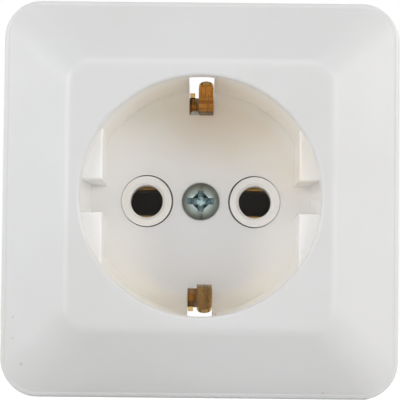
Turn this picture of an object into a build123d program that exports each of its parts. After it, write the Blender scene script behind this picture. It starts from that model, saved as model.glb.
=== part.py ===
from build123d import *
import math
import os

# A flush wall socket. Lengths are in millimetres. The front faces -Y, +Z is up, and the
# origin is on the socket's axis in the plane of the wall. Heights are measured forwards
# from the wall, so what lies in the wall has a negative height.

# Cover plate: its width stacks up from the recess outwards, past the frame
plate_corner = 6.4
plate_height = 12.0
rim_height = 2.6
rim_round = 0.9
crown_margin = 2.2
crown_corner = 4.2
crown_round = 3.0
skirt_wall = 1.8
slope_wall = 1.8
crown_wall = 2.2

# Recess
mouth_radius = 20.2
mouth_round = 0.6
recess_taper = 0.8
recess_depth = 17.5
cup_wall = 1.5
floor_thickness = 2.0
guide_gap = 33.0
guide_slot = 5.5
guide_drop = 2.2
guide_round = 0.4
window_width = 4.3
window_inner = 15.2
window_past_cup = 0.6

# Pins of the plug and the collars that they pass
pin_spacing = 19.0
pin_hole = 5.7
pin_hole_bevel = 0.45
collar_diameter = 8.8
collar_clearance = 0.18
opening_shift = 0.12

# Insert
insert_height = 37.0
insert_corner = 7.0
cap_thickness = 3.0
base_depth = 16.0
base_bevel = 0.8
terminal_depth = 5.5
chamber_width = 8.4
chamber_height = 8.8
part_clearance = 0.1
thread_clearance = 0.05

# Cover screw and its bush
cover_screw_radius = 1.75
cover_screw_length = 13.0
cover_head_radius = 3.2
cover_head_rim = 0.7
cover_head_dome = 1.5
cover_seat_depth = 0.5
cover_hole_clearance = 0.5
drive_width = 1.15
drive_length = 5.2
drive_depth = 1.2
cross_width = 1.0
cross_length = 3.65
cross_depth = 1.6
cross_mouth = 3.1
cross_end = 1.25
cross_turn = 45.0
bush_radius = 2.9
bush_flange_radius = 3.7
bush_flange = 1.6
bush_end = 20.0

# Earth bridge and its post
strip_thickness = 0.8
bridge_width = 7.0
bridge_waist = 13.0
bridge_reach = 19.2
finger_left = 2.05
finger_right = 0.8
finger_lip_right = 1.15
finger_rise = 1.6
finger_lip = 1.3
finger_bend = 0.8
tongue_left = 0.5
tongue_right = 2.02
tongue_thickness = 0.7
tongue_start = 14.5
tongue_root = 16.7
tongue_root_bend = 1.0
tongue_bulge = 14.7
tongue_bulge_bend = 4.0
tongue_bulge_height = 3.0
tongue_tip = 19.2
tongue_tip_height = 9.0
tongue_tip_round = 1.2
bridge_rivet_radius = 0.85
bridge_rivet_x = -1.2
bridge_rivet_z = 15.35
post_radius = 2.6
post_spigot_radius = 1.4
post_z = 10.6
post_stand = 1.0
post_thread_depth = 8.0

# Line contacts
leaf_width = 6.4
leaf_thickness = 0.7
leaf_lip = 2.65
leaf_grip = 2.0
leaf_root = 2.5
leaf_front = 0.6
leaf_grip_depth = 4.0
leaf_bend = 0.7
arm_reach = 8.1
arm_half_height = 3.2
contact_slit = 0.6
contact_rivet_reach = 6.2
contact_rivet_radius = 0.8
spring_thickness = 0.5
spring_depth = 4.0
spring_start = 2.8
spring_half_height = 3.0
spring_slit = 2.0

# Terminals
terminal_x = 13.2
terminal_z = -11.5
terminal_pocket = 8.9
clamp_width = 8.2
clamp_length = 7.2
clamp_thickness = 1.0
clamp_lip = 0.7
clamp_lip_width = 0.75
terminal_screw_radius = 1.75
terminal_screw_length = 7.0
terminal_head_radius = 3.0
terminal_head_height = 2.0
screw_slot_width = 0.9
screw_slot_depth = 0.9
pan_top_ratio = 0.8
pan_edge_ratio = 0.6

# Cap screws
cap_screw_inset_x = 5.0
cap_screw_inset_z = 5.7
cap_screw_radius = 1.25
cap_screw_head = 2.4
cap_screw_length = 10.5

# Support frame
frame_thickness = 1.2
frame_clearance = 0.7
frame_band = 8.6
frame_gap = 1.2
frame_flat_cut = 3.0
frame_hole_radius = 1.7
frame_hole_inset = 4.33
leg_width = 5.0
leg_z = 7.2
leg_relief = 0.8
leg_inset = 0.1
foot_length = 5.3
leg_bend = 1.2
leg_overlap = 1.5
frame_rivet_radius = 1.0
frame_rivet_inset = 2.6
rivet_head_ratio = 1.9
rivet_head_height = 0.8
rivet_cone_ratio = 0.7

# Claws
claw_screw_inset = 3.8
claw_screw_radius = 1.5
claw_screw_length = 17.0
claw_head_radius = 2.6
claw_head_gap = 0.1
claw_head_front = 0.5
claw_slot_width = 3.7
claw_slot_travel = 1.3
claw_width = 6.0
claw_thickness = 1.2
claw_gap = 0.4
claw_bend = 1.2
claw_lug_depth = 9.5
claw_lug_past = 2.2
claw_turn_depth = 20.0
claw_tip_depth = 22.5
claw_tip_past = 2.8
claw_notch_width = 2.0
claw_notch_length = 2.4

# Heights that several pieces share
recess_floor = plate_height - recess_depth
cap_front = recess_floor - floor_thickness
cap_back = cap_front - cap_thickness
base_back = cap_back - base_depth
pocket_floor = base_back + terminal_depth
strip_back = cap_front - strip_thickness
screw_seat = recess_floor - cover_seat_depth
pin_x = pin_spacing / 2
collar_radius = collar_diameter / 2
sides = {"left": -1, "right": 1}

# Widths that stack up from the recess outwards
floor_radius = mouth_radius - recess_taper
cup_radius = mouth_radius + cup_wall
frame_inner_radius = cup_radius + frame_clearance
frame_radius = frame_inner_radius + frame_band
plate_width = 2 * (frame_radius + frame_gap + skirt_wall)
crown_width = 2 * (mouth_radius + crown_margin)
insert_edge = frame_inner_radius + leg_inset
insert_width = 2 * insert_edge
insert_top = insert_height / 2
cap_screw_x = insert_edge - cap_screw_inset_x
cap_screw_z = insert_top - cap_screw_inset_z
claw_screw_x = frame_inner_radius + claw_screw_inset


def level(height):
    """The plane that lies a height in front of the wall, seen from the front."""
    return Plane.XZ.offset(height)


def turned(outline):
    """A solid turned about the Y axis from corners given as radius and height."""
    with BuildPart() as turning:
        with BuildSketch(Plane.XY):
            with BuildLine():
                Polyline(*[(radius, -height) for radius, height in outline], close=True)
            make_face()
        revolve(axis=Axis.Y)
    return turning.part


def rivet(shank_radius, front, back):
    """A rivet with a flat head at the front and a low cone of a head at the back."""
    head_radius = shank_radius * rivet_head_ratio
    return turned([
        (0, front),
        (head_radius, front),
        (head_radius, front - rivet_head_height),
        (shank_radius, front - rivet_head_height),
        (shank_radius, back),
        (head_radius, back),
        (head_radius * rivet_cone_ratio, back - rivet_head_height),
        (0, back - rivet_head_height),
    ])


def pan_screw(head_radius, head_height, shank_radius, shank_length, seat):
    """A slotted screw whose head faces the back of the socket and sits at a height."""
    with BuildPart() as screw:
        add(turned([
            (0, seat - head_height),
            (head_radius * pan_top_ratio, seat - head_height),
            (head_radius, seat - head_height * pan_edge_ratio),
            (head_radius, seat),
            (shank_radius, seat),
            (shank_radius, seat + shank_length),
            (0, seat + shank_length),
        ]))
        with BuildSketch(level(seat - head_height)):
            Rectangle(2 * head_radius, screw_slot_width)
        extrude(amount=screw_slot_depth, mode=Mode.SUBTRACT)
    return screw.part


# Cover plate: a rim, a pyramid with a flat crown and the round cup of the recess
slope_base = plate_width - 2 * rim_round
slope_run = (slope_base - crown_width) / 2
slope_rise = plate_height - rim_height
slope_depth = slope_wall * math.hypot(slope_run, slope_rise) / slope_run
skirt_inner = plate_width - 2 * skirt_wall
skirt_top = rim_height - slope_depth + (slope_base - skirt_inner) / 2 * slope_rise / slope_run
crown_inner = crown_width + 2 * (crown_wall - slope_depth) * slope_run / slope_rise
guide_height = plate_height - guide_drop
guide_root = (mouth_radius + floor_radius + cup_wall) / 2
window_length = cup_radius + window_past_cup - window_inner

with BuildPart() as cover_plate:
    with BuildSketch(level(0)):
        RectangleRounded(plate_width, plate_width, plate_corner)
    extrude(amount=rim_height)
    fillet(cover_plate.faces().sort_by(Axis.Y)[0].edges(), rim_round)
    with BuildSketch(level(rim_height)):
        RectangleRounded(slope_base, slope_base, plate_corner - rim_round)
    with BuildSketch(level(plate_height)):
        RectangleRounded(crown_width, crown_width, crown_corner)
    loft()
    fillet(cover_plate.faces().sort_by(Axis.Y)[0].edges(), crown_round)
    with BuildSketch(level(0)):
        RectangleRounded(skirt_inner, skirt_inner, plate_corner - skirt_wall)
    extrude(amount=skirt_top, mode=Mode.SUBTRACT)
    with BuildSketch(level(skirt_top)):
        RectangleRounded(skirt_inner, skirt_inner, plate_corner - skirt_wall)
    with BuildSketch(level(plate_height - crown_wall)):
        RectangleRounded(crown_inner, crown_inner, crown_corner - crown_wall / 2)
    loft(mode=Mode.SUBTRACT)
    add(turned([
        (0, plate_height - crown_wall),
        (cup_radius, plate_height - crown_wall),
        (floor_radius + cup_wall, cap_front),
        (0, cap_front),
    ]))
    add(turned([
        (0, plate_height),
        (mouth_radius, plate_height),
        (floor_radius, recess_floor),
        (0, recess_floor),
    ]), mode=Mode.SUBTRACT)
    mouth = cover_plate.edges().filter_by(GeomType.CIRCLE).group_by(Axis.Y)[0]
    fillet(mouth.sort_by(SortBy.RADIUS)[-1], mouth_round)
    with BuildSketch(level(recess_floor)):
        Circle(guide_root)
        Rectangle(guide_gap, 2 * guide_root, mode=Mode.SUBTRACT)
        Rectangle(2 * guide_root, guide_slot, mode=Mode.SUBTRACT)
    extrude(amount=guide_height - recess_floor)
    guide_front = cover_plate.faces().filter_by(Axis.Y).filter_by_position(
        Axis.Y, -guide_height - part_clearance, part_clearance - guide_height)
    fillet(guide_front.edges().filter_by(GeomType.LINE), guide_round)
    with BuildSketch(level(cap_front)):
        with GridLocations(0, 2 * window_inner + window_length, 1, 2):
            Rectangle(window_width, window_length)
    extrude(amount=plate_height - crown_wall - cap_front, mode=Mode.SUBTRACT)
    with BuildSketch(level(cap_front)):
        with GridLocations(pin_spacing - 2 * opening_shift, 0, 2, 1):
            Circle(collar_radius + collar_clearance)
        Circle(cover_screw_radius + cover_hole_clearance)
    extrude(amount=floor_thickness, mode=Mode.SUBTRACT)
    with BuildSketch(level(screw_seat)):
        Circle(cover_head_radius + part_clearance)
    extrude(amount=cover_seat_depth, mode=Mode.SUBTRACT)
cover_plate.part.label = "cover_plate"
export_step(cover_plate.part, "parts/cover_plate.step")

# Cover screw: a domed head with a slot across it and a tapered cross recess in the middle
head_crown = screw_seat + cover_head_rim + cover_head_dome
with BuildPart() as cover_screw:
    with BuildSketch(Plane.XY):
        with BuildLine():
            Polyline(
                (0, -head_crown),
                (0, cover_screw_length - screw_seat),
                (cover_screw_radius, cover_screw_length - screw_seat),
                (cover_screw_radius, -screw_seat),
                (cover_head_radius, -screw_seat),
                (cover_head_radius, -screw_seat - cover_head_rim),
            )
            RadiusArc(
                (cover_head_radius, -screw_seat - cover_head_rim),
                (0, -head_crown),
                (cover_head_radius ** 2 + cover_head_dome ** 2) / (2 * cover_head_dome),
            )
        make_face()
    revolve(axis=Axis.Y)
    with BuildSketch(level(head_crown - drive_depth)):
        SlotOverall(drive_length, drive_width)
    extrude(amount=drive_depth, mode=Mode.SUBTRACT)
    with BuildSketch(level(head_crown - cross_depth)):
        Rectangle(cross_width, cross_length)
        Rectangle(cross_length, cross_width)
    extrude(amount=cross_depth, mode=Mode.SUBTRACT)
    with BuildSketch(level(head_crown - cross_depth)):
        Rectangle(cross_end, cross_end, rotation=cross_turn)
    with BuildSketch(level(head_crown)):
        Rectangle(cross_mouth, cross_mouth, rotation=cross_turn)
    loft(mode=Mode.SUBTRACT)
cover_screw.part.label = "cover_screw"
export_step(cover_screw.part, "parts/cover_screw.step")

# Contact cap: the front of the insert, with the collars that fill the cover's openings
with BuildPart() as contact_cap:
    with BuildSketch(level(cap_back)):
        RectangleRounded(insert_width, insert_height, insert_corner)
    extrude(amount=cap_thickness)
    with BuildSketch(level(cap_front)):
        with GridLocations(pin_spacing, 0, 2, 1):
            Circle(collar_radius)
    extrude(amount=floor_thickness)
    with BuildSketch(level(cap_back)):
        with GridLocations(pin_spacing, 0, 2, 1):
            Circle(pin_hole / 2)
        Circle(bush_radius + part_clearance)
        with Locations((0, post_z)):
            Circle(post_radius + part_clearance)
        with GridLocations(2 * cap_screw_x, 2 * cap_screw_z, 2, 2):
            Circle(cap_screw_radius + part_clearance)
        with GridLocations(0, 2 * bridge_rivet_z, 1, 2):
            with Locations((bridge_rivet_x, 0)):
                Circle(bridge_rivet_radius / rivet_head_ratio)
    extrude(amount=cap_thickness + floor_thickness, mode=Mode.SUBTRACT)
    hole_mouths = contact_cap.faces().group_by(Axis.Y)[0].edges().group_by(SortBy.RADIUS)[0]
    chamfer(hole_mouths, pin_hole_bevel)
    with BuildSketch(level(strip_back)):
        Rectangle(bridge_width + 2 * part_clearance, 2 * bridge_waist + 2 * part_clearance)
        Rectangle(2 * finger_left + 2 * part_clearance, insert_height)
    extrude(amount=strip_thickness, mode=Mode.SUBTRACT)
    with GridLocations(2 * cap_screw_x, 0, 2, 1):
        with Locations((0, 0, cap_screw_z), (0, 0, -cap_screw_z)):
            add(turned([
                (0, cap_front),
                (cap_screw_head + part_clearance, cap_front),
                (0, cap_front - cap_screw_head - part_clearance),
            ]), mode=Mode.SUBTRACT)
contact_cap.part.label = "contact_cap"
export_step(contact_cap.part, "parts/contact_cap.step")

# Cap screws: countersunk, with their heads level with the cap
with BuildPart() as cap_screws:
    with GridLocations(2 * cap_screw_x, 0, 2, 1):
        with Locations((0, 0, cap_screw_z), (0, 0, -cap_screw_z)):
            add(turned([
                (0, cap_front),
                (cap_screw_head, cap_front),
                (cap_screw_radius, cap_front - cap_screw_head + cap_screw_radius),
                (cap_screw_radius, cap_front - cap_screw_length),
                (0, cap_front - cap_screw_length),
            ]))
    with BuildSketch(level(cap_front)):
        with GridLocations(2 * cap_screw_x, 2 * cap_screw_z, 2, 2):
            Rectangle(2 * cap_screw_head, screw_slot_width)
    extrude(amount=-screw_slot_depth, mode=Mode.SUBTRACT)
cap_screws.part.label = "cap_screws"
export_step(cap_screws.part, "parts/cap_screws.step")

# Insert base: the rear moulding, with contact chambers and pockets open to the back
pocket_half = terminal_pocket / 2
pocket_top = arm_half_height + part_clearance
pocket_in = pin_x - chamber_width / 2
pocket_out = pin_x + arm_reach + part_clearance
rivet_x = insert_edge - frame_rivet_inset
frame_head = frame_rivet_radius * rivet_head_ratio + part_clearance
contact_rivet_x = pin_x + contact_rivet_reach
contact_head = contact_rivet_radius * rivet_head_ratio + part_clearance
tail_back = pocket_floor - leaf_thickness
terminal_seat = tail_back - clamp_thickness
screw_tip = terminal_seat + terminal_screw_length
post_back = pocket_floor - post_stand


def patch(low_x, high_x, low_z, high_z, mode=Mode.ADD):
    """A rectangle of the sketch between two corners."""
    with Locations(((low_x + high_x) / 2, (low_z + high_z) / 2)):
        Rectangle(abs(high_x - low_x), abs(high_z - low_z), mode=mode)


with BuildPart() as insert_base:
    with BuildSketch(level(base_back)):
        RectangleRounded(insert_width, insert_height, insert_corner)
    extrude(amount=base_depth)
    chamfer(insert_base.faces().sort_by(Axis.Y)[-1].edges(), base_bevel)
    with BuildSketch(level(pocket_floor)):
        with GridLocations(pin_spacing, 0, 2, 1):
            Rectangle(chamber_width, chamber_height)
        with Locations((0, post_z)):
            Circle(post_radius + part_clearance)
    extrude(amount=cap_back - pocket_floor, mode=Mode.SUBTRACT)
    with BuildSketch(level(base_back)):
        for side in sides.values():
            patch(side * pocket_in, side * pocket_out, -pocket_top, pocket_top)
            patch(side * terminal_x - pocket_half, side * terminal_x + pocket_half,
                  -insert_top, -pocket_top)
        patch(-pocket_half, pocket_half, post_z - pocket_half, insert_top)
    extrude(amount=terminal_depth, mode=Mode.SUBTRACT)
    with BuildSketch(level(pocket_floor)):
        with Locations((terminal_x, terminal_z), (-terminal_x, terminal_z)):
            Circle(terminal_screw_radius + part_clearance)
    extrude(amount=screw_tip + part_clearance - pocket_floor, mode=Mode.SUBTRACT)
    with BuildSketch(level(cap_front - cap_screw_length - part_clearance)):
        with GridLocations(2 * cap_screw_x, 2 * cap_screw_z, 2, 2):
            Circle(cap_screw_radius + thread_clearance)
    extrude(amount=cap_screw_length - cap_thickness + part_clearance, mode=Mode.SUBTRACT)
    with BuildSketch(level(-bush_end - part_clearance)):
        Circle(bush_radius + part_clearance)
    extrude(amount=cap_back + bush_end + part_clearance, mode=Mode.SUBTRACT)
    with BuildSketch(level(cap_back - bush_flange - part_clearance)):
        Circle(bush_flange_radius + part_clearance)
    extrude(amount=bush_flange + part_clearance, mode=Mode.SUBTRACT)
    with BuildSketch(level(base_back)):
        with GridLocations(2 * rivet_x, 2 * leg_z, 2, 2):
            Circle(frame_rivet_radius + thread_clearance)
        with GridLocations(2 * contact_rivet_x, 0, 2, 1):
            Circle(contact_rivet_radius + thread_clearance)
    extrude(amount=base_depth, mode=Mode.SUBTRACT)
    with BuildSketch(level(cap_back - rivet_head_height - thread_clearance)):
        with GridLocations(2 * rivet_x, 2 * leg_z, 2, 2):
            Circle(frame_head)
        with GridLocations(2 * contact_rivet_x, 0, 2, 1):
            Circle(contact_head)
    extrude(amount=rivet_head_height + thread_clearance, mode=Mode.SUBTRACT)
insert_base.part.label = "insert_base"
export_step(insert_base.part, "parts/insert_base.step")

# Centre bush: it is flanged, and the cover screw is driven into it
bush_thread = cover_screw_radius + thread_clearance
with BuildPart() as centre_bush:
    add(turned([
        (bush_thread, strip_back),
        (bush_radius, strip_back),
        (bush_radius, cap_back),
        (bush_flange_radius, cap_back),
        (bush_flange_radius, cap_back - bush_flange),
        (bush_radius, cap_back - bush_flange),
        (bush_radius, -bush_end),
        (bush_thread, -bush_end),
    ]))
centre_bush.part.label = "centre_bush"
export_step(centre_bush.part, "parts/centre_bush.step")

# Earth bridge: a flat strip behind the cover's floor, whose ends fork into a flat finger
# and the sprung tongue that touches the plug
strip_middle = cap_front - strip_thickness / 2
bridge_rivet_shank = bridge_rivet_radius / rivet_head_ratio
with BuildPart() as earth_bridge:
    with BuildSketch(level(strip_back)):
        patch(-bridge_width / 2, bridge_width / 2, 0, bridge_waist)
        patch(-finger_left, tongue_right, 0, tongue_root - tongue_root_bend)
        patch(-finger_left, -finger_right, 0, bridge_reach - finger_rise)
        Circle(cover_screw_radius + thread_clearance, mode=Mode.SUBTRACT)
        with Locations((0, post_z)):
            Circle(post_spigot_radius, mode=Mode.SUBTRACT)
    extrude(amount=strip_thickness)
    with BuildSketch(Plane.YZ.offset(-tongue_left)):
        with BuildLine():
            FilletPolyline(
                (-strip_middle, tongue_start),
                (-strip_middle, tongue_root),
                (-tongue_bulge_height, tongue_bulge),
                (-tongue_tip_height, tongue_tip),
                radius=(tongue_root_bend, tongue_bulge_bend),
            )
        trace(line_width=tongue_thickness)
    extrude(amount=tongue_left + tongue_right)
    tip = earth_bridge.faces().sort_by(Axis.Y)[0]
    fillet(tip.edges().sort_by(SortBy.LENGTH)[:2], tongue_tip_round)
    with BuildSketch(Plane.YZ.offset(-finger_left)):
        with BuildLine():
            FilletPolyline(
                (-strip_middle, tongue_start),
                (-strip_middle, bridge_reach - strip_thickness / 2),
                (-strip_middle - finger_lip, bridge_reach - strip_thickness / 2),
                radius=finger_bend,
            )
        trace(line_width=strip_thickness)
    extrude(amount=finger_left - finger_lip_right)
    with Locations((bridge_rivet_x, 0, bridge_rivet_z)):
        add(turned([
            (0, cap_front),
            (bridge_rivet_radius, cap_front),
            (bridge_rivet_shank, strip_back),
            (0, strip_back),
        ]), mode=Mode.SUBTRACT)
    mirror(about=Plane.XY)
earth_bridge.part.label = "earth_bridge"
export_step(earth_bridge.part, "parts/earth_bridge.step")

# Rivets that hold the bridge to the cap, level with its front
with BuildPart() as earth_bridge_rivets:
    with Locations((bridge_rivet_x, 0, bridge_rivet_z), (bridge_rivet_x, 0, -bridge_rivet_z)):
        add(turned([
            (0, cap_front),
            (bridge_rivet_radius, cap_front),
            (bridge_rivet_shank, strip_back),
            (bridge_rivet_shank, cap_back),
            (0, cap_back),
        ]))
earth_bridge_rivets.part.label = "earth_bridge_rivets"
export_step(earth_bridge_rivets.part, "parts/earth_bridge_rivets.step")

# Earth post: from the bridge through the insert to the earth terminal at the back
with BuildPart() as earth_post:
    with Locations((0, 0, post_z)):
        add(turned([
            (0, cap_front),
            (post_spigot_radius, cap_front),
            (post_spigot_radius, strip_back),
            (post_radius, strip_back),
            (post_radius, post_back),
            (terminal_screw_radius + thread_clearance, post_back),
            (terminal_screw_radius + thread_clearance, post_back + post_thread_depth),
            (0, post_back + post_thread_depth),
        ]))
earth_post.part.label = "earth_post"
export_step(earth_post.part, "parts/earth_post.step")


def clamp_plate(x, z, front):
    """A square terminal clamp whose two lips reach past what it presses on."""
    with BuildPart() as plate:
        with BuildSketch(level(front - clamp_thickness)):
            with Locations((x, z)):
                Rectangle(clamp_width, clamp_length)
                Circle(terminal_screw_radius + part_clearance, mode=Mode.SUBTRACT)
        extrude(amount=clamp_thickness)
        with BuildSketch(level(front)):
            with Locations((x, z)):
                with GridLocations(clamp_width - clamp_lip_width, 0, 2, 1):
                    Rectangle(clamp_lip_width, clamp_length)
        extrude(amount=clamp_lip)
    return plate.part


# Line contacts: two leaves that grip the pin, an arm beside them and a tail to the terminal
leaf_line = leaf_thickness / 2
web_line = tail_back + leaf_line
tail_low = terminal_z - clamp_length / 2
tail_high = -arm_half_height - contact_slit
for name, side in sides.items():
    with BuildPart() as contact:
        with BuildSketch(Plane.YZ.offset(side * pin_x - leaf_width / 2)):
            with BuildLine():
                FilletPolyline(
                    (leaf_front - cap_back, leaf_lip),
                    (leaf_grip_depth - cap_back, leaf_grip + leaf_line),
                    (-web_line, leaf_root + leaf_line),
                    (-web_line, -leaf_root - leaf_line),
                    (leaf_grip_depth - cap_back, -leaf_grip - leaf_line),
                    (leaf_front - cap_back, -leaf_lip),
                    radius=leaf_bend,
                )
            trace(line_width=leaf_thickness)
        extrude(amount=leaf_width)
        web_edge = pin_x + leaf_width / 2
        with BuildSketch(level(tail_back)):
            patch(side * (web_edge - leaf_bend), side * (pin_x + arm_reach),
                  -arm_half_height, arm_half_height)
            patch(side * (web_edge + contact_slit), side * (pin_x + arm_reach),
                  tail_high, -arm_half_height)
            patch(side * terminal_x - leaf_width / 2, side * terminal_x + leaf_width / 2,
                  tail_low, tail_high)
            with Locations((side * terminal_x, terminal_z)):
                Circle(terminal_screw_radius + thread_clearance, mode=Mode.SUBTRACT)
            with Locations((side * contact_rivet_x, 0)):
                Circle(contact_rivet_radius, mode=Mode.SUBTRACT)
        extrude(amount=leaf_thickness)
    contact.part.label = f"{name}_line_contact"
    export_step(contact.part, f"parts/{name}_line_contact.step")

    # The steel spring that presses the leaves together, open towards the middle
    spring_half_width = leaf_width / 2 + part_clearance
    with BuildPart() as spring:
        with BuildSketch(level(cap_back - spring_start - spring_depth)):
            with Locations((side * pin_x, 0)):
                Rectangle(2 * (spring_half_width + spring_thickness),
                          2 * (spring_half_height + spring_thickness))
                Rectangle(2 * spring_half_width, 2 * spring_half_height, mode=Mode.SUBTRACT)
            patch(side * pin_x, side * (pin_x - spring_half_width - spring_thickness),
                  -spring_slit / 2, spring_slit / 2, Mode.SUBTRACT)
        extrude(amount=spring_depth)
    spring.part.label = f"{name}_contact_spring"
    export_step(spring.part, f"parts/{name}_contact_spring.step")

    # The terminal: a clamp plate and its screw
    with BuildPart() as clamp:
        add(clamp_plate(side * terminal_x, terminal_z, tail_back))
    clamp.part.label = f"{name}_terminal_clamp"
    export_step(clamp.part, f"parts/{name}_terminal_clamp.step")
    with BuildPart() as terminal_screw:
        with Locations((side * terminal_x, 0, terminal_z)):
            add(pan_screw(terminal_head_radius, terminal_head_height,
                          terminal_screw_radius, terminal_screw_length, terminal_seat))
    terminal_screw.part.label = f"{name}_terminal_screw"
    export_step(terminal_screw.part, f"parts/{name}_terminal_screw.step")

# Rivets of the line contacts
with BuildPart() as contact_rivets:
    with GridLocations(2 * contact_rivet_x, 0, 2, 1):
        add(rivet(contact_rivet_radius, cap_back, tail_back))
contact_rivets.part.label = "contact_rivets"
export_step(contact_rivets.part, "parts/contact_rivets.step")

# Earth terminal on the post
with BuildPart() as earth_terminal_clamp:
    add(clamp_plate(0, post_z, post_back))
earth_terminal_clamp.part.label = "earth_terminal_clamp"
export_step(earth_terminal_clamp.part, "parts/earth_terminal_clamp.step")

with BuildPart() as earth_terminal_screw:
    with Locations((0, 0, post_z)):
        add(pan_screw(terminal_head_radius, terminal_head_height,
                      terminal_screw_radius, terminal_screw_length, post_back - clamp_thickness))
earth_terminal_screw.part.label = "earth_terminal_screw"
export_step(earth_terminal_screw.part, "parts/earth_terminal_screw.step")

# Support frame: a stamped ring on the wall with four legs folded back round the insert
leg_x = insert_edge + part_clearance + frame_thickness / 2
leg_turn = leg_x + leg_bend
frame_hole_spacing = math.sqrt(2) * (frame_inner_radius + frame_hole_inset)
foot_line = base_back - frame_thickness / 2
with BuildPart() as support_frame:
    with BuildSketch(level(0)):
        Circle(frame_radius)
        Rectangle(2 * frame_radius, 2 * (frame_radius - frame_flat_cut), mode=Mode.INTERSECT)
        Circle(frame_inner_radius, mode=Mode.SUBTRACT)
        with GridLocations(2 * (leg_turn - leg_width / 2), 2 * leg_z, 2, 2):
            Rectangle(leg_width, leg_width + 2 * leg_relief, mode=Mode.SUBTRACT)
        with GridLocations(2 * claw_screw_x + claw_slot_travel, 0, 2, 1):
            SlotCenterToCenter(claw_slot_travel, claw_slot_width, mode=Mode.SUBTRACT)
        with GridLocations(frame_hole_spacing, frame_hole_spacing, 2, 2):
            Circle(frame_hole_radius, mode=Mode.SUBTRACT)
    extrude(amount=frame_thickness)
    with BuildSketch(Plane.XY.offset(leg_z - leg_width / 2)):
        with BuildLine():
            FilletPolyline(
                (leg_turn + leg_overlap, -frame_thickness / 2),
                (leg_x, -frame_thickness / 2),
                (leg_x, -foot_line),
                (leg_x - foot_length, -foot_line),
                radius=leg_bend,
            )
        trace(line_width=frame_thickness)
    extrude(amount=leg_width)
    with BuildSketch(level(foot_line - frame_thickness)):
        with Locations((rivet_x, leg_z)):
            Circle(frame_rivet_radius)
    extrude(amount=2 * frame_thickness, mode=Mode.SUBTRACT)
    mirror(about=Plane.YZ)
    mirror(about=Plane.XY)
support_frame.part.label = "support_frame"
export_step(support_frame.part, "parts/support_frame.step")

with BuildPart() as frame_rivets:
    with GridLocations(2 * rivet_x, 0, 2, 1):
        with Locations((0, 0, leg_z), (0, 0, -leg_z)):
            add(rivet(frame_rivet_radius, cap_back, base_back - frame_thickness))
frame_rivets.part.label = "frame_rivets"
export_step(frame_rivets.part, "parts/frame_rivets.step")

# Claws: each is a bent strip on a screw whose round head lets both swing outwards
claw_line = insert_edge + claw_gap + claw_thickness / 2
claw_tip_x = claw_screw_x + claw_tip_past
head_seat = math.sqrt((claw_head_radius + claw_head_gap) ** 2 - (claw_slot_width / 2) ** 2)
claw_pivot = frame_thickness + head_seat
head_face = math.sqrt(claw_head_radius ** 2 - claw_head_front ** 2)
head_root = math.sqrt(claw_head_radius ** 2 - claw_screw_radius ** 2)
for name, side in sides.items():
    with BuildPart() as claw:
        with BuildSketch(Plane.XY.offset(-claw_width / 2)):
            with BuildLine():
                FilletPolyline(
                    (side * (claw_screw_x + claw_lug_past), claw_lug_depth),
                    (side * claw_line, claw_lug_depth),
                    (side * claw_line, claw_turn_depth),
                    (side * claw_tip_x, claw_tip_depth),
                    radius=claw_bend,
                )
            trace(line_width=claw_thickness)
        extrude(amount=claw_width)
        with BuildSketch(level(-claw_tip_depth - claw_notch_length)):
            with Locations((side * claw_tip_x, 0)):
                Rectangle(2 * claw_notch_length, claw_notch_width)
        extrude(amount=2 * claw_notch_length, mode=Mode.SUBTRACT)
        with BuildSketch(level(-claw_lug_depth - claw_thickness)):
            with Locations((side * claw_screw_x, 0)):
                Circle(claw_screw_radius + thread_clearance)
        extrude(amount=2 * claw_thickness, mode=Mode.SUBTRACT)
    claw.part.label = f"{name}_claw"
    export_step(claw.part, f"parts/{name}_claw.step")

    with BuildPart() as claw_screw:
        with BuildSketch(Plane.XY):
            with BuildLine():
                Polyline(
                    (claw_screw_radius, head_root - claw_pivot),
                    (claw_screw_radius, claw_screw_length - claw_pivot),
                    (0, claw_screw_length - claw_pivot),
                    (0, -claw_pivot - claw_head_front),
                    (head_face, -claw_pivot - claw_head_front),
                )
                ThreePointArc(
                    (head_face, -claw_pivot - claw_head_front),
                    (claw_head_radius, -claw_pivot),
                    (claw_screw_radius, head_root - claw_pivot),
                )
            make_face()
        revolve(axis=Axis.Y)
        with BuildSketch(level(claw_pivot + claw_head_front)):
            Rectangle(2 * claw_head_radius, screw_slot_width)
        extrude(amount=-screw_slot_depth, mode=Mode.SUBTRACT)
    with BuildPart() as placed_screw:
        with Locations((side * claw_screw_x, 0, 0)):
            add(claw_screw.part)
    placed_screw.part.label = f"{name}_claw_screw"
    export_step(placed_screw.part, f"parts/{name}_claw_screw.step")
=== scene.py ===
import math

import bmesh
import bpy
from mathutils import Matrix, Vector


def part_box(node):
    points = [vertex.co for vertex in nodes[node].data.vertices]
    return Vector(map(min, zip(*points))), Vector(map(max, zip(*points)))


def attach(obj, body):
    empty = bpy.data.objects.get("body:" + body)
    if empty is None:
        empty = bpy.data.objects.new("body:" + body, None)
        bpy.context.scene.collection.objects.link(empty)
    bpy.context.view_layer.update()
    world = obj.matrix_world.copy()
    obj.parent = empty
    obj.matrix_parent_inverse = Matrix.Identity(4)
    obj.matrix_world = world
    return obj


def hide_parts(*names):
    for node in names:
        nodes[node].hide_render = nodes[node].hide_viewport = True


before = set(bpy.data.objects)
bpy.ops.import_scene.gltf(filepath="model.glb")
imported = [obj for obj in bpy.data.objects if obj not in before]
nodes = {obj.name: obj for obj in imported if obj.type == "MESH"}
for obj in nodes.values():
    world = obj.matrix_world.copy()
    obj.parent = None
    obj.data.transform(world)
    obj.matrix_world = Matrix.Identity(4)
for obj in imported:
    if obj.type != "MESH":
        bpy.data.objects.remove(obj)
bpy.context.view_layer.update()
scene = bpy.context.scene
scene.view_settings.view_transform = "Standard"
print("frame loaded:", len(nodes), "nodes")

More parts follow.
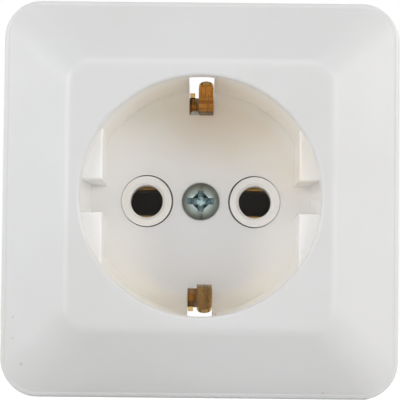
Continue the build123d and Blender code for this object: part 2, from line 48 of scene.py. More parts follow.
# The wall plane is y = 0, the front faces -Y and the socket's axis is the Y axis.
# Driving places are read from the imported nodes, so they follow the part.
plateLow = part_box("cover_plate")[0]
plateFront = plateLow.y
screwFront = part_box("cover_screw")[0].y
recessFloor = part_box("contact_cap")[0].y      # the collars end level with it
mm = 0.001

# Camera: a long lens a little below the socket, tilted up and rolled as in the photo
cameraView = {
    "distance": 0.336,       # from the recess floor
    "below": 0.0190,
    "aside": 0.0003,
    "tilt": math.radians(3.285),
    "roll": math.radians(-0.58),
    "lens": 172.7,
    "sensor": 36.0,
    "shift": -0.0033,
    "clipStart": 0.01,
}


def makeCamera(view):
    data = bpy.data.cameras.new("camera")
    data.lens = view["lens"]
    data.sensor_width = view["sensor"]
    data.shift_x = view["shift"]
    data.clip_start = view["clipStart"]
    camera = bpy.data.objects.new("camera", data)
    scene.collection.objects.link(camera)
    camera.location = (view["aside"], recessFloor - view["distance"], -view["below"])
    camera.rotation_euler = (math.pi / 2 + view["tilt"], view["roll"], 0)
    scene.camera = camera


# Stage: a pale floor under the plate's lower edge, soft lamps and a plain white world
stageLook = {
    "floorSize": 3.0,
    "floorColour": (0.86, 0.86, 0.85),
    "floorRoughness": 0.9,
    "floorGlow": 0.60,       # only for rays that show the background
    "worldLight": 0.33,
    "worldShown": 1.0,
}
coolWhite, warmWhite = (0.98, 0.99, 1.0), (1.0, 0.995, 0.985)
lamps = {
    "leftLamp": {"at": (-0.74, -0.64, 0.22), "size": 0.5, "power": 2.65, "colour": coolWhite},
    "rightLamp": {"at": (0.74, -0.64, 0.22), "size": 0.5, "power": 2.65, "colour": warmWhite},
    "topLamp": {"at": (0.0, -0.50, 0.84), "size": 0.6, "power": 1.3, "colour": (0.99, 0.99, 1.0)},
    "leftPanel": {"at": (-0.95, -0.12, 0.28), "size": 0.6, "power": 1.5, "colour": coolWhite},
    "backLamp": {"at": (0.45, 0.70, 0.50), "size": 0.6, "power": 2.2, "colour": warmWhite},
    "rightPanel": {"at": (0.95, -0.12, 0.28), "size": 0.6, "power": 1.8, "colour": warmWhite},
}


# One strength for the rays that light, another for those that show the background
def shownTo(tree, target, hidden, shown):
    path = tree.nodes.new("ShaderNodeLightPath")
    seen = path.outputs["Is Camera Ray"]
    for ray in ("Is Glossy Ray", "Is Transmission Ray"):
        either = tree.nodes.new("ShaderNodeMath")
        either.operation = "MAXIMUM"
        tree.links.new(seen, either.inputs[0])
        tree.links.new(path.outputs[ray], either.inputs[1])
        seen = either.outputs[0]
    strength = tree.nodes.new("ShaderNodeMapRange")
    strength.inputs["To Min"].default_value = hidden
    strength.inputs["To Max"].default_value = shown
    tree.links.new(seen, strength.inputs["Value"])
    tree.links.new(strength.outputs["Result"], target)


def makeFloor(look):
    bm = bmesh.new()
    bmesh.ops.create_grid(bm, x_segments=1, y_segments=1, size=look["floorSize"] / 2)
    bmesh.ops.translate(bm, vec=(0, 0, plateLow.z), verts=bm.verts)
    mesh = bpy.data.meshes.new("floor")
    bm.to_mesh(mesh)
    bm.free()
    floor = bpy.data.objects.new("floor", mesh)
    scene.collection.objects.link(floor)
    material = bpy.data.materials.new("floorPaint")
    material.use_nodes = True
    shader = material.node_tree.nodes["Principled BSDF"]
    shader.inputs["Base Color"].default_value = (*look["floorColour"], 1)
    shader.inputs["Roughness"].default_value = look["floorRoughness"]
    shader.inputs["Emission Color"].default_value = (1, 1, 1, 1)
    shownTo(material.node_tree, shader.inputs["Emission Strength"], 0.0, look["floorGlow"])
    mesh.materials.append(material)


def makeWorld(look):
    world = bpy.data.worlds.new("world")
    world.use_nodes = True
    scene.world = world
    background = world.node_tree.nodes["Background"]
    background.inputs["Color"].default_value = (1, 1, 1, 1)
    shownTo(world.node_tree, background.inputs["Strength"],
            look["worldLight"], look["worldShown"])


def makeLamp(name, lamp):
    data = bpy.data.lights.new(name, "AREA")
    data.shape = "DISK"
    data.size = lamp["size"]
    data.energy = lamp["power"]
    data.color = lamp["colour"]
    light = bpy.data.objects.new(name, data)
    scene.collection.objects.link(light)
    light.location = lamp["at"]
    light.rotation_euler = Vector(lamp["at"]).to_track_quat("Z", "Y").to_euler()


makeCamera(cameraView)
makeFloor(stageLook)
makeWorld(stageLook)
for lampName, lamp in lamps.items():
    makeLamp(lampName, lamp)
print("camera and stage made")


# Shader helpers: most return the output that the next node reads
def feed(tree, target, source):
    if isinstance(source, bpy.types.NodeSocket):
        tree.links.new(source, target)
    elif isinstance(source, tuple) and target.type == "RGBA":
        target.default_value = (*source, 1)
    else:
        target.default_value = source


def stretched(tree, place, scale):
    node = tree.nodes.new("ShaderNodeMapping")
    feed(tree, node.inputs["Vector"], place)
    feed(tree, node.inputs["Scale"], scale)
    return node.outputs["Vector"]


def noise(tree, place, scale, detail=3.0):
    node = tree.nodes.new("ShaderNodeTexNoise")
    feed(tree, node.inputs["Vector"], place)
    feed(tree, node.inputs["Scale"], scale)
    feed(tree, node.inputs["Detail"], detail)
    return node.outputs["Fac"]


# Two or four numbers in a dictionary are a ramp's limits: from, and then to
def ramp(tree, source, low, high, toLow=0.0, toHigh=1.0):
    node = tree.nodes.new("ShaderNodeMapRange")
    node.interpolation_type = "SMOOTHSTEP"
    feed(tree, node.inputs["Value"], source)
    feed(tree, node.inputs["From Min"], low)
    feed(tree, node.inputs["From Max"], high)
    feed(tree, node.inputs["To Min"], toLow)
    feed(tree, node.inputs["To Max"], toHigh)
    return node.outputs["Result"]


def combine(tree, operation, first, second=0.0):
    node = tree.nodes.new("ShaderNodeMath")
    node.operation = operation
    feed(tree, node.inputs[0], first)
    feed(tree, node.inputs[1], second)
    return node.outputs["Value"]


def times(tree, first, *others):
    for other in others:
        first = combine(tree, "MULTIPLY", first, other)
    return first


def largest(tree, first, *others):
    for other in others:
        first = combine(tree, "MAXIMUM", first, other)
    return first


# Noise drawn through a ramp
def clouded(tree, place, cloud):
    return ramp(tree, noise(tree, place, cloud["scale"]), *cloud["from"], *cloud["to"])


def distanceFrom(tree, place, point, scale=(1.0, 1.0, 1.0)):
    offset = tree.nodes.new("ShaderNodeVectorMath")
    offset.operation = "SUBTRACT"
    feed(tree, offset.inputs[0], place)
    feed(tree, offset.inputs[1], point)
    flat = tree.nodes.new("ShaderNodeVectorMath")
    flat.operation = "MULTIPLY"
    feed(tree, flat.inputs[0], offset.outputs["Vector"])
    feed(tree, flat.inputs[1], scale)
    length = tree.nodes.new("ShaderNodeVectorMath")
    length.operation = "LENGTH"
    feed(tree, length.inputs[0], flat.outputs["Vector"])
    return length.outputs["Value"]


def axes(tree, place):
    node = tree.nodes.new("ShaderNodeSeparateXYZ")
    feed(tree, node.inputs["Vector"], place)
    return node.outputs["X"], node.outputs["Y"], node.outputs["Z"]


def facing(tree):
    node = tree.nodes.new("ShaderNodeTexCoord")
    return axes(tree, node.outputs["Normal"])


def blend(tree, amount, first, second):
    node = tree.nodes.new("ShaderNodeMix")
    node.data_type = "RGBA"
    feed(tree, node.inputs["Factor"], amount)
    feed(tree, node.inputs[6], first)      # the colour pair of the node's sockets
    feed(tree, node.inputs[7], second)
    return node.outputs[2]


def bump(tree, shader, height, strength, distance):
    node = tree.nodes.new("ShaderNodeBump")
    feed(tree, node.inputs["Strength"], strength)
    feed(tree, node.inputs["Distance"], distance)
    feed(tree, node.inputs["Height"], height)
    feed(tree, shader.inputs["Normal"], node.outputs["Normal"])


# The roughness goes from the first limit to the second as the mask grows
def roughen(tree, shader, mask, limits):
    feed(tree, shader.inputs["Roughness"], ramp(tree, mask, 0.0, 1.0, *limits))


def newMaterial(name, look):
    material = bpy.data.materials.new(name)
    material.use_nodes = True
    tree = material.node_tree
    shader = tree.nodes["Principled BSDF"]
    for socket, value in look.get("sockets", {}).items():
        feed(tree, shader.inputs[socket], value)
    place = tree.nodes.new("ShaderNodeTexCoord").outputs["Object"]
    return material, tree, shader, place


# Shader groups that several finishes share
def newGroup(name, inputs, output):
    group = bpy.data.node_groups.new(name, "ShaderNodeTree")
    group.interface.new_socket("Vector", in_out="INPUT", socket_type="NodeSocketVector")
    for label, value in inputs.items():
        socket = group.interface.new_socket(label, in_out="INPUT", socket_type="NodeSocketFloat")
        socket.default_value = value
    group.interface.new_socket(output, in_out="OUTPUT", socket_type="NodeSocketFloat")
    return (group, group.nodes.new("NodeGroupInput").outputs,
            group.nodes.new("NodeGroupOutput").inputs[output])


def useGroup(tree, group, place, values):
    node = tree.nodes.new("ShaderNodeGroup")
    node.node_tree = group
    feed(tree, node.inputs["Vector"], place)
    for label, value in values.items():
        feed(tree, node.inputs[label], value)
    return node.outputs[0]


def makeGrainGroup():
    scales = {"Fine": 2600.0, "Coarse": 320.0, "Share": 0.6}
    group, given, height = newGroup("mouldedGrain", scales, "Height")
    fine = noise(group, given["Vector"], given["Fine"], detail=2.0)
    coarse = noise(group, given["Vector"], given["Coarse"], detail=2.0)
    kept = combine(group, "MULTIPLY", fine, given["Share"])
    feed(group, height, combine(group, "ADD", kept, coarse))
    return group


def makeSpeckGroup():
    sizes = {"Scale": 300.0, "Size": 0.12, "Share": 0.1}
    group, given, mask = newGroup("darkSpecks", sizes, "Mask")
    cells = group.nodes.new("ShaderNodeTexVoronoi")
    feed(group, cells.inputs["Vector"], given["Vector"])
    feed(group, cells.inputs["Scale"], given["Scale"])
    inside = combine(group, "LESS_THAN", cells.outputs["Distance"], given["Size"])
    draw = group.nodes.new("ShaderNodeSeparateColor")
    feed(group, draw.inputs["Color"], cells.outputs["Color"])
    chosen = combine(group, "LESS_THAN", draw.outputs["Red"], given["Share"])
    feed(group, mask, combine(group, "MULTIPLY", inside, chosen))
    return group


def makeWearGroup():
    limits = {"Scale": 60.0, "Low": 0.45, "High": 0.65}
    group, given, mask = newGroup("handlingWear", limits, "Mask")
    cloud = noise(group, given["Vector"], given["Scale"], detail=5.0)
    feed(group, mask, ramp(group, cloud, given["Low"], given["High"]))
    return group


def makeStreakGroup():
    limits = {"Scale": 900.0, "Low": 0.35, "High": 0.7}
    group, given, value = newGroup("rolledStreaks", limits, "Streak")
    lines = noise(group, given["Vector"], given["Scale"], detail=4.0)
    feed(group, value, ramp(group, lines, given["Low"], given["High"]))
    return group


grainGroup = makeGrainGroup()
speckGroup = makeSpeckGroup()
wearGroup = makeWearGroup()
streakGroup = makeStreakGroup()

# Cover plate: satin white; the recess is painted lighter, and tinted cream and brown near its top
# and bottom, partly yellowed plastic and partly painted warm bounce light and shade
coverLook = {
    "sockets": {"Roughness": 0.36, "IOR": 1.48, "Subsurface Weight": 0.25,
                "Subsurface Radius": (1.0, 0.9, 0.8), "Subsurface Scale": 2.0 * mm},
    "white": (0.752, 0.752, 0.755),
    "greyed": (0.722, 0.719, 0.713),
    "litLining": (0.955, 0.945, 0.93),
    "cream": (0.955, 0.91, 0.83),
    "brown": (0.875, 0.765, 0.635),
    "paintedDim": (0.84, 0.84, 0.85),
    "mouth": 20.2 * mm,
    "rim": 0.5 * mm,
    "liningDepth": 2 * mm,
    "creamFrom": (0.15, 0.95),              # shares of the mouth's radius, up and down
    "creamCloud": {"scale": 90.0, "from": (0.2, 0.6), "to": (0.6, 1.0)},
    "brownUpwards": (2 * mm, 17 * mm),      # from where to where the brown sets in
    "brownLean": 0.5,                       # more to the right
    "brownCloud": {"scale": 45.0, "from": (0.25, 0.7), "to": (0.35, 0.9)},
    "brownEdge": (19 * mm, 16.5 * mm, 0.3, 1.0),
    "dimAside": (15 * mm, 5 * mm),       # the floor's middle is painted grey, painted shade
    "dimUpwards": (8 * mm, -4 * mm),
    "dimEdge": (18 * mm, 15 * mm),
    "speckShare": 0.35,
    "roughness": (0.30, 0.44),
    "bump": (0.12, 0.02 * mm),
    "marks": {     # x, height, radius and strength of small scuffs seen in the photo
        "edgeMark": (-31.7, -20.5, 0.30, 0.20),
        "lowerMark": (-31.7, -24.1, 0.35, 0.16),
        "cornerMark": (-30.1, -28.4, 0.40, 0.22),
        "recessDot": (2.7, -19.7, 0.16, 0.75),
    },
    "markColour": (0.30, 0.22, 0.17),
}


def makeCoverPlastic(look):
    material, tree, shader, place = newMaterial("coverPlastic", look)
    x, y, z = axes(tree, place)
    fromAxis = distanceFrom(tree, place, (0, 0, 0), (1, 0, 1))
    within = ramp(tree, fromAxis, look["mouth"] + look["rim"], look["mouth"] - look["rim"])
    below = ramp(tree, y, plateFront + look["rim"], plateFront + look["liningDepth"])
    recess = times(tree, within, below)
    low, high = look["creamFrom"]
    arcs = ramp(tree, combine(tree, "ABSOLUTE", z), low * look["mouth"], high * look["mouth"])
    # Cream and brown tints near the recess's top and bottom: partly yellowed plastic, partly
    # painted warm bounce light and shade
    creamTint = times(tree, recess, arcs, clouded(tree, place, look["creamCloud"]))
    slanted = combine(tree, "ADD", times(tree, x, look["brownLean"]), z)
    brownTint = times(tree, recess, ramp(tree, slanted, *look["brownUpwards"]),
                    clouded(tree, place, look["brownCloud"]),
                    ramp(tree, fromAxis, *look["brownEdge"]))
    mottled = useGroup(tree, wearGroup, place, {"Scale": 26.0, "Low": 0.4, "High": 0.7})
    colour = blend(tree, mottled, look["white"], look["greyed"])
    # Painted light: the recess is painted lighter than the plate outside it
    colour = blend(tree, recess, colour, look["litLining"])
    colour = blend(tree, creamTint, colour, look["cream"])
    colour = blend(tree, brownTint, colour, look["brown"])
    # Painted shade: the middle of the recess floor is painted grey
    middle = times(tree, ramp(tree, combine(tree, "ABSOLUTE", x), *look["dimAside"]),
                   ramp(tree, z, *look["dimUpwards"]), ramp(tree, fromAxis, *look["dimEdge"]))
    colour = blend(tree, times(tree, recess, middle), colour, look["paintedDim"])
    specks = useGroup(tree, speckGroup, place, {"Scale": 190.0, "Size": 0.05, "Share": 0.05})
    colour = blend(tree, times(tree, specks, look["speckShare"]), colour, look["markColour"])
    for spotX, spotZ, radius, strength in look["marks"].values():
        away = distanceFrom(tree, place, (spotX * mm, 0, spotZ * mm), (1, 0, 1))
        spot = ramp(tree, away, radius * mm, 0.5 * radius * mm, 0.0, strength)
        colour = blend(tree, spot, colour, look["markColour"])
    feed(tree, shader.inputs["Base Color"], colour)
    worn = useGroup(tree, wearGroup, place, {"Scale": 70.0, "Low": 0.35, "High": 0.75})
    roughen(tree, shader, worn, look["roughness"])
    grain = useGroup(tree, grainGroup, place, {"Fine": 2400.0, "Coarse": 260.0, "Share": 0.5})
    bump(tree, shader, grain, *look["bump"])
    return material


# Insert: a cream cap in front, a dark moulding behind
capLook = {
    "sockets": {"Roughness": 0.4, "IOR": 1.5},
    "cream": (0.95, 0.935, 0.915),
    "creamTint": (0.92, 0.895, 0.85),
    "speck": (0.2, 0.15, 0.1),
    "speckShare": 0.5,
    "roughness": (0.34, 0.5),
    "bump": (0.15, 0.02 * mm),
    "brownTint": (0.26, 0.15, 0.065),
    "besideFinger": {"x": -0.85 * mm, "aside": (0.95 * mm, 0.57 * mm),
                     "upwards": (14.6 * mm, 15.1 * mm), "share": 0.85},
}
baseLook = {
    "sockets": {"Roughness": 0.45, "IOR": 1.5},
    "dark": (0.060, 0.058, 0.055),
    "dusty": (0.110, 0.104, 0.096),
    "roughness": (0.38, 0.62),
    "bump": (0.25, 0.03 * mm),
}


def makeCapPlastic(look):
    material, tree, shader, place = newMaterial("capPlastic", look)
    worn = useGroup(tree, wearGroup, place, {"Scale": 120.0, "Low": 0.4, "High": 0.75})
    colour = blend(tree, worn, look["cream"], look["creamTint"])
    specks = useGroup(tree, speckGroup, place, {"Scale": 420.0, "Size": 0.09, "Share": 0.07})
    colour = blend(tree, times(tree, specks, look["speckShare"]), colour, look["speck"])
    # Painted shade: the cap is painted brown behind the earth clips, where it lies in shade
    x, _, z = axes(tree, place)
    finger = look["besideFinger"]
    aside = combine(tree, "ABSOLUTE", combine(tree, "SUBTRACT", x, finger["x"]))
    behind = times(tree, ramp(tree, aside, *finger["aside"], 0.0, finger["share"]),
                   ramp(tree, combine(tree, "ABSOLUTE", z), *finger["upwards"]))
    colour = blend(tree, behind, colour, look["brownTint"])
    feed(tree, shader.inputs["Base Color"], colour)
    roughen(tree, shader, worn, look["roughness"])
    grain = useGroup(tree, grainGroup, place, {"Fine": 2600.0, "Coarse": 400.0, "Share": 0.5})
    bump(tree, shader, grain, *look["bump"])
    return material


def makeBasePlastic(look):
    material, tree, shader, place = newMaterial("basePlastic", look)
    worn = useGroup(tree, wearGroup, place, {"Scale": 90.0, "Low": 0.4, "High": 0.8})
    feed(tree, shader.inputs["Base Color"], blend(tree, worn, look["dark"], look["dusty"]))
    roughen(tree, shader, worn, look["roughness"])
    grain = useGroup(tree, grainGroup, place, {"Fine": 2000.0, "Coarse": 500.0, "Share": 0.8})
    bump(tree, shader, grain, *look["bump"])
    return material


# Brass: the earth bridge is worn in streaks where plugs rub, the inner contacts are darker
brassLook = {
    "sockets": {"Metallic": 1.0, "Roughness": 0.3},
    "bright": (0.82, 0.52, 0.18),
    "warm": (0.80, 0.37, 0.085),
    "tarnish": (0.32, 0.16, 0.045),
    "burnt": (0.17, 0.058, 0.010),
    "smoked": (0.20, 0.13, 0.065),
    "highlightGold": (0.95, 0.66, 0.27),
    # the colour of small pits, and of the painted shadow under the finger's lip
    "pitAndShadow": (0.05, 0.03, 0.015),
    "finger": (0.24, 0.10, 0.014),
    "olive": (0.10, 0.066, 0.024),
    "streakStretch": (1.0, 0.10, 0.08),
    "streakShare": 0.65,
    "bandStretch": (0.25, 1, 1),
    "bandShare": 0.7,
    "pitShare": 0.6,
    "warmFrom": (-2 * mm, 8 * mm),
    "smokeFrom": (2 * mm, -16 * mm),
    "smokeCloud": {"scale": 900.0, "from": (0.2, 0.6), "to": (0.35, 0.85)},
    "bendShadeBand": (15.8 * mm, 16.2 * mm, 16.5 * mm, 16.9 * mm),      # painted shade: a darker band where the upper tongue bends
    "bendShadeShare": 0.75,
    "rootHeight": (15.05 * mm, 14.85 * mm),
    "rootUpwards": (-2 * mm, 2 * mm, 0.3, 0.85),
    "fingerSide": (-0.5 * mm, -0.8 * mm),
    "stripDepth": (6.9 * mm, 7.3 * mm, 0.0, 0.9),
    "lipShade": (17.0 * mm, 17.6 * mm, 0.0, 0.8),
    "lipDepth": (6.8 * mm, 6.7 * mm, 0.0, 0.8),
    "lipHeight": (18.3 * mm, 18.4 * mm),
    "cutFacing": (0.5, 0.9, 0.0, 0.8),      # how far the surface has to face sideways
    "tipFacing": (-0.68, -0.76),
    "tipFrom": (2 * mm, 6 * mm),
    "roughness": (0.24, 0.5),
    "bump": (0.35, 0.02 * mm),
}
contactLook = {
    "sockets": brassLook["sockets"],
    "bright": brassLook["bright"],
    "tarnish": brassLook["tarnish"],
    "smoked": brassLook["smoked"],
    "tarnishShare": 0.7,
    "leftDarker": (2 * mm, -2 * mm, 0.15, 0.6),
    "deep": (0.40, 0.385, 0.36),
    "inside": (11.6 * mm, 13.4 * mm),       # where the contacts are painted a light, non-metallic grey behind the cap: painted light
    "pinX": 9.5 * mm,
    "chamber": (4.0 * mm, 3.6 * mm),
    "backFacing": (0.6, 0.3),
    "streakStretch": (0.1, 1, 1),
    "metallic": (1.0, 0.1),
    "roughness": (0.32, 0.7),
    "bump": (0.2, 0.01 * mm),
}


def makeWornBrass(look):
    material, tree, shader, place = newMaterial("wornBrass", look)
    along = stretched(tree, place, look["streakStretch"])
    streak = useGroup(tree, streakGroup, along, {"Scale": 3100.0, "Low": 0.42, "High": 0.62})
    across = stretched(tree, place, look["bandStretch"])
    bands = useGroup(tree, wearGroup, across, {"Scale": 420.0, "Low": 0.45, "High": 0.62})
    x, y, z = axes(tree, place)
    sideways, outwards, upwards = facing(tree)
    upper = ramp(tree, z, *look["warmFrom"])
    # Painted shade: a darker band across the upper tongue where it bends
    bandFoot, bandLow, bandHigh, bandTop = look["bendShadeBand"]
    paintedDim = times(tree, ramp(tree, z, bandFoot, bandLow, 0.0, look["bendShadeShare"]),
                   ramp(tree, z, bandTop, bandHigh))
    stained = largest(tree, times(tree, streak, look["streakShare"]),
                      times(tree, bands, look["bandShare"]), paintedDim)
    colour = blend(tree, stained, blend(tree, upper, look["bright"], look["warm"]),
                   blend(tree, upper, look["tarnish"], look["burnt"]))
    smoke = times(tree, ramp(tree, z, *look["smokeFrom"]), clouded(tree, along, look["smokeCloud"]))
    colour = blend(tree, smoke, colour, look["smoked"])
    # Painted shadow: the tongues' roots below the bulge are painted dark olive
    upright = combine(tree, "ABSOLUTE", z)
    root = times(tree, ramp(tree, upright, *look["rootHeight"]),
                 ramp(tree, z, *look["rootUpwards"]))
    colour = blend(tree, root, colour, look["olive"])
    # The flat strip lies in the cover's shade, darkest under the finger's lip
    strip = ramp(tree, y, *look["stripDepth"])
    onFinger = ramp(tree, x, *look["fingerSide"])
    fingerColour = blend(tree, streak, look["finger"], look["burnt"])
    shaded = blend(tree, onFinger, look["olive"], fingerColour)
    underLip = ramp(tree, upright, *look["lipShade"])
    colour = blend(tree, strip, colour, blend(tree, underLip, shaded, look["pitAndShadow"]))
    specks = useGroup(tree, speckGroup, place, {"Scale": 1500.0, "Size": 0.25, "Share": 0.12})
    colour = blend(tree, times(tree, specks, look["pitShare"]), colour, look["pitAndShadow"])
    # Painted highlights: the cut sides, the tongues' ends and the finger's lip are painted bright,
    # as edges catching the light
    cut = ramp(tree, combine(tree, "ABSOLUTE", sideways), *look["cutFacing"])
    tip = times(tree, ramp(tree, outwards, *look["tipFacing"]),
                ramp(tree, times(tree, z, upwards), *look["tipFrom"]))
    lip = times(tree, ramp(tree, y, *look["lipDepth"]), onFinger,
                ramp(tree, upright, *look["lipHeight"]))
    colour = blend(tree, largest(tree, cut, tip, lip), colour, look["highlightGold"])
    feed(tree, shader.inputs["Base Color"], colour)
    roughen(tree, shader, stained, look["roughness"])
    bump(tree, shader, streak, *look["bump"])
    return material


def makeContactBrass(look):
    material, tree, shader, place = newMaterial("contactBrass", look)
    x, y, _ = axes(tree, place)
    worn = useGroup(tree, wearGroup, place, {"Scale": 260.0, "Low": 0.35, "High": 0.7})
    tarnished = times(tree, worn, look["tarnishShare"])
    colour = blend(tree, tarnished, look["bright"], look["tarnish"])
    colour = blend(tree, ramp(tree, x, *look["leftDarker"]), colour, look["smoked"])
    offPin = combine(tree, "SUBTRACT", combine(tree, "ABSOLUTE", x), look["pinX"])
    # Painted light: inside the chambers the contacts are painted a light, non-metallic grey for the
    # dim hole interior
    hidden = times(tree, ramp(tree, y, *look["inside"]),
                   ramp(tree, combine(tree, "ABSOLUTE", offPin), *look["chamber"]),
                   ramp(tree, facing(tree)[1], *look["backFacing"]))
    feed(tree, shader.inputs["Base Color"], blend(tree, hidden, colour, look["deep"]))
    feed(tree, shader.inputs["Metallic"], ramp(tree, hidden, 0.0, 1.0, *look["metallic"]))
    roughen(tree, shader, hidden, look["roughness"])
    across = stretched(tree, place, look["streakStretch"])
    streak = useGroup(tree, streakGroup, across, {"Scale": 1800.0})
    bump(tree, shader, streak, *look["bump"])
    return material


# Steel: bluish zinc on the screws and the frame, plain grey on the springs and rivets
screwLook = {
    "sockets": {"Metallic": 1.0, "Roughness": 0.3},
    "bright": (0.385, 0.46, 0.46),
    "dull": (0.315, 0.38, 0.375),
    "shaded": (0.15, 0.165, 0.15),
    "grimeAndShade": (0.045, 0.08, 0.085),
    "glint": (0.42, 0.58, 0.58),
    "headRadius": 3.2 * mm,
    "headRise": 1.5 * mm,
    "sunken": (0.03 * mm, 0.25 * mm),       # depth under the dome's skin
    "rimShade": (1.9 * mm, 3.15 * mm, 0.0, 0.9),
    "glintMiddle": (0.95 * mm, 0.5 * mm),
    "grimeAndShadeCloud": {"scale": 1500.0, "from": (0.3, 0.75), "to": (1.0, 0.6)},
    "glintCloud": {"scale": 1700.0, "from": (0.35, 0.6), "to": (0.0, 0.8)},
    "roughness": (0.28, 0.38),
    "dimples": 900.0,
    "bump": (0.12, 0.03 * mm),
}
frameLook = {
    "sockets": {"Metallic": 1.0, "Roughness": 0.34},
    "bright": (0.54, 0.57, 0.60),
    "dull": (0.37, 0.39, 0.42),
    "yellowed": (0.53, 0.49, 0.37),
    "yellowShare": 0.45,
    "stretch": 0.08,
    "roughness": (0.26, 0.42),
    "bump": (0.2, 0.01 * mm),
}
steelLook = {
    "sockets": {"Metallic": 1.0, "Roughness": 0.38},
    "bright": (0.52, 0.52, 0.53),
    "dull": (0.28, 0.27, 0.26),
    "roughness": (0.3, 0.5),
    "dimples": 1600.0,
    "bump": (0.3, 0.03 * mm),
}
rivetLook = {
    **steelLook,
    "sockets": {"Metallic": 1.0, "Roughness": 0.34},
    "bright": (0.64, 0.65, 0.63),
    "dull": (0.27, 0.28, 0.25),
    "brassy": (0.22, 0.105, 0.02),
    "brassyFrom": (1 * mm, -1 * mm, 0.0, 0.9),
}


def makeScrewZinc(look):
    material, tree, shader, place = newMaterial("screwZinc", look)
    domeRadius = (look["headRadius"] ** 2 + look["headRise"] ** 2) / (2 * look["headRise"])
    domeCentre = (0, screwFront + domeRadius, 0)
    toCentre = distanceFrom(tree, place, domeCentre)
    skin, deep = look["sunken"]
    sunken = ramp(tree, toCentre, domeRadius - skin, domeRadius - deep)
    fromAxis = distanceFrom(tree, place, (0, 0, 0), (1, 0, 1))
    cloud = useGroup(tree, wearGroup, place, {"Scale": 500.0, "Low": 0.3, "High": 0.8})
    colour = blend(tree, cloud, look["bright"], look["dull"])
    colour = blend(tree, ramp(tree, fromAxis, *look["rimShade"]), colour, look["shaded"])
    # The recess is painted dark teal: partly grime, partly painted shade
    grimeAndShadeMask = times(tree, sunken, clouded(tree, place, look["grimeAndShadeCloud"]))
    colour = blend(tree, grimeAndShadeMask, colour, look["grimeAndShade"])
    # Painted highlight: a light teal glint is painted in the middle of the recess
    worn = times(tree, sunken, ramp(tree, fromAxis, *look["glintMiddle"]),
                 clouded(tree, place, look["glintCloud"]))
    colour = blend(tree, worn, colour, look["glint"])
    feed(tree, shader.inputs["Base Color"], colour)
    roughen(tree, shader, cloud, look["roughness"])
    bump(tree, shader, noise(tree, place, look["dimples"]), *look["bump"])
    return material


# The sheet's grain runs across the ring and on along the legs folded from it
def unfolded(tree, place, share):
    x, y, z = axes(tree, place)
    along = combine(tree, "ADD", combine(tree, "ABSOLUTE", x), y)
    node = tree.nodes.new("ShaderNodeCombineXYZ")
    feed(tree, node.inputs["X"], times(tree, along, share))
    feed(tree, node.inputs["Z"], z)
    return node.outputs["Vector"]


def makeFrameZinc(look):
    material, tree, shader, place = newMaterial("frameZinc", look)
    streak = useGroup(tree, streakGroup, unfolded(tree, place, look["stretch"]), {"Scale": 1500.0})
    cloud = useGroup(tree, wearGroup, place, {"Scale": 110.0, "Low": 0.45, "High": 0.7})
    colour = blend(tree, streak, look["bright"], look["dull"])
    colour = blend(tree, times(tree, cloud, look["yellowShare"]), colour, look["yellowed"])
    feed(tree, shader.inputs["Base Color"], colour)
    roughen(tree, shader, cloud, look["roughness"])
    bump(tree, shader, streak, *look["bump"])
    return material


def makeBareSteel(name, look):
    material, tree, shader, place = newMaterial(name, look)
    cloud = useGroup(tree, wearGroup, place, {"Scale": 500.0, "Low": 0.35, "High": 0.7})
    colour = blend(tree, cloud, look["bright"], look["dull"])
    if "brassy" in look:      # the lower rivet has taken the strip's colour
        lower = ramp(tree, axes(tree, place)[2], *look["brassyFrom"])
        colour = blend(tree, lower, colour, look["brassy"])
    feed(tree, shader.inputs["Base Color"], colour)
    roughen(tree, shader, cloud, look["roughness"])
    bump(tree, shader, noise(tree, place, look["dimples"]), *look["bump"])
    return material


finishes = {
    "coverPlastic": makeCoverPlastic(coverLook),
    "capPlastic": makeCapPlastic(capLook),
    "basePlastic": makeBasePlastic(baseLook),
    "wornBrass": makeWornBrass(brassLook),
    "contactBrass": makeContactBrass(contactLook),
    "screwZinc": makeScrewZinc(screwLook),
    "frameZinc": makeFrameZinc(frameLook),
    "bareSteel": makeBareSteel("bareSteel", steelLook),
    "rivetSteel": makeBareSteel("rivetSteel", rivetLook),
}
finishOf = {
    "cover_plate": "coverPlastic",
    "contact_cap": "capPlastic",
    "insert_base": "basePlastic",
    "earth_bridge": "wornBrass",
    "left_line_contact": "contactBrass",
    "right_line_contact": "contactBrass",
    "centre_bush": "contactBrass",
    "earth_post": "contactBrass",
    "cover_screw": "screwZinc",
    "left_contact_spring": "bareSteel",
    "right_contact_spring": "bareSteel",
    "contact_rivets": "bareSteel",
    "frame_rivets": "bareSteel",
    "earth_bridge_rivets": "rivetSteel",
}
for nodeName, node in nodes.items():
    for slot in node.material_slots:
        slot.material = finishes[finishOf.get(nodeName, "frameZinc")]
print("finishes laid on the nodes")

# Claw screws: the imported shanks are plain, so each is drawn with its thread
clawScrew = {
    "shank": 1.5 * mm,
    "root": 1.25 * mm,
    "crest": 1.495 * mm,
    "flat": 0.05 * mm,
    "pitch": 0.5 * mm,
    "plain": 0.45 * mm,      # unthreaded length at either end
    "steps": 24,
    "sunk": 0.05 * mm,       # the thread's foot lies this deep in the root
    "foot": 0.45,            # half the foot's width, as a share of the pitch
    "rim": 0.93,             # the broken front rim clears the cover at the swing's end
    "rimRadius": 2 * mm,     # the rim's points lie outside this radius
    "headEnd": -2 * mm,      # the shank's points lie behind this
    "near": 0.02 * mm,
    "level": 0.01 * mm,
    "weld": 0.001 * mm,
    "sharpFrom": math.radians(35),
}


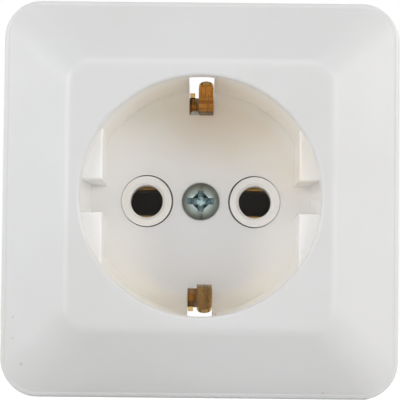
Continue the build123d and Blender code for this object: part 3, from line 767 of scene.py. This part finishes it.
def makeClawScrew(side, shape):
    source = nodes[side + "_claw_screw"]
    low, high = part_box(side + "_claw_screw")
    axisX, axisZ = (low.x + high.x) / 2, (low.z + high.z) / 2
    bm = bmesh.new()
    bm.from_mesh(source.data)
    bmesh.ops.remove_doubles(bm, verts=bm.verts, dist=shape["weld"])
    shank, rim = [], []
    for vert in bm.verts:
        away = math.hypot(vert.co.x - axisX, vert.co.z - axisZ)
        if vert.co.y > shape["headEnd"] and abs(away - shape["shank"]) < shape["near"]:
            shank.append(vert)
        if vert.co.y < low.y + shape["level"] and away > shape["rimRadius"]:
            rim.append(vert)
    start = min(vert.co.y for vert in shank) + shape["plain"]
    turns = int((high.y - shape["plain"] - start) / shape["pitch"])
    for verts, share in ((shank, shape["root"] / shape["shank"]), (rim, shape["rim"])):
        for vert in verts:
            vert.co.x = axisX + (vert.co.x - axisX) * share
            vert.co.z = axisZ + (vert.co.z - axisZ) * share
    foot, halfFoot = shape["root"] - shape["sunk"], shape["foot"] * shape["pitch"]
    crest, halfFlat = shape["crest"], shape["flat"] / 2
    section = [(foot, -halfFoot), (crest, -halfFlat), (crest, halfFlat), (foot, halfFoot)]
    loop = [bm.verts.new((axisX + out, start + along, axisZ)) for out, along in section]
    edges = [bm.edges.new((loop[i], loop[(i + 1) % 4])) for i in range(4)]
    bm.faces.new(loop)
    steps = turns * shape["steps"]
    swept = bmesh.ops.spin(bm, geom=loop + edges, cent=(axisX, 0, axisZ), axis=(0, 1, 0),
                           dvec=(0, shape["pitch"] / shape["steps"], 0),
                           angle=2 * math.pi * turns, steps=steps)
    bm.faces.new([item for item in swept["geom_last"] if isinstance(item, bmesh.types.BMVert)])
    bmesh.ops.recalc_face_normals(bm, faces=bm.faces)
    for face in bm.faces:
        face.smooth = True
    mesh = bpy.data.meshes.new(side + "ThreadedScrew")
    bm.to_mesh(mesh)
    bm.free()
    if "custom_normal" in mesh.attributes:
        mesh.attributes.remove(mesh.attributes["custom_normal"])
    mesh.set_sharp_from_angle(angle=shape["sharpFrom"])
    mesh.materials.clear()
    mesh.materials.append(finishes["frameZinc"])
    screw = bpy.data.objects.new(side + "ThreadedScrew", mesh)
    scene.collection.objects.link(screw)
    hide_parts(side + "_claw_screw")
    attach(screw, side + "_claw")


for side in ("left", "right"):
    makeClawScrew(side, clawScrew)
print("claw screws threaded")
